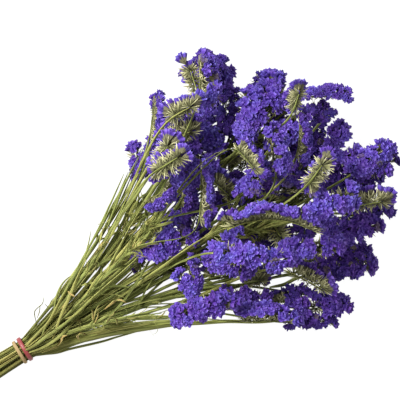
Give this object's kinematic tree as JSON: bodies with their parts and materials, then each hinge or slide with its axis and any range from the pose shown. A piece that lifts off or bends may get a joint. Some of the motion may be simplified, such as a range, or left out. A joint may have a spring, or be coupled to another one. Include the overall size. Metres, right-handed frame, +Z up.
{
  "type": "bunch of dried statice",
  "caption": "Tied bunch of dried statice lying down: ribbed winged stems run through elastic bands and fan out into branches with pointed green bracts and crowded papery violet flowers.",
  "frame": {"origin": "on the surface that the bunch lies on, under the middle of its bounding box", "axes": "+X along the bunch from the cut ends through the tie to the flowers, +Y across the fan, +Z up from the surface"},
  "size_m": [0.4598, 0.2892, 0.1357],
  "materials": {
    "dried_stem": "matt, dry, pale olive green with yellower edges",
    "violet_calyx": "matt, papery and crimped, deep violet blue",
    "rubber_band": "satin, red",
    "tan_band": "satin, tan"
  },
  "bodies": {
    "root": {"stalk_01": "dried_stem", "stalk_02": "dried_stem", "stalk_03": "dried_stem", "stalk_04": "dried_stem", "stalk_05": "dried_stem", "stalk_06": "dried_stem", "stalk_07": "dried_stem", "stalk_08": "dried_stem", "stalk_09": "dried_stem", "stalk_10": "dried_stem", "stalk_11": "dried_stem", "stalk_12": "dried_stem", "stalk_13": "dried_stem", "stalk_14": "dried_stem", "stalk_15": "dried_stem", "flowers_01a": "violet_calyx", "flowers_01b": "violet_calyx", "flowers_02a": "violet_calyx", "flowers_02b": "violet_calyx", "flowers_02c": "violet_calyx", "flowers_03a": "violet_calyx", "flowers_03b": "violet_calyx", "flowers_03c": "violet_calyx", "flowers_04a": "violet_calyx", "flowers_04b": "violet_calyx", "flowers_05a": "violet_calyx", "flowers_05b": "violet_calyx", "flowers_05c": "violet_calyx", "flowers_06a": "violet_calyx", "flowers_06b": "violet_calyx", "flowers_07a": "violet_calyx", "flowers_07b": "violet_calyx", "flowers_08a": "violet_calyx", "flowers_08b": "violet_calyx", "flowers_08c": "violet_calyx", "flowers_09a": "violet_calyx", "flowers_09b": "violet_calyx", "flowers_09c": "violet_calyx", "flowers_10a": "violet_calyx", "flowers_10b": "violet_calyx", "flowers_11a": "violet_calyx", "flowers_11b": "violet_calyx", "flowers_11c": "violet_calyx", "flowers_12a": "violet_calyx", "flowers_12b": "violet_calyx", "flowers_12c": "violet_calyx", "flowers_13a": "violet_calyx", "flowers_13b": "violet_calyx", "flowers_13c": "violet_calyx", "flowers_13d": "violet_calyx", "flowers_14a": "violet_calyx", "flowers_14b": "violet_calyx", "flowers_14c": "violet_calyx", "flowers_14d": "violet_calyx", "flowers_15a": "violet_calyx", "flowers_15b": "violet_calyx", "flowers_15c": "violet_calyx", "flowers_15d": "violet_calyx", "rubber_band": "rubber_band", "tan_band": "tan_band"}
  },
  "joints": []
}
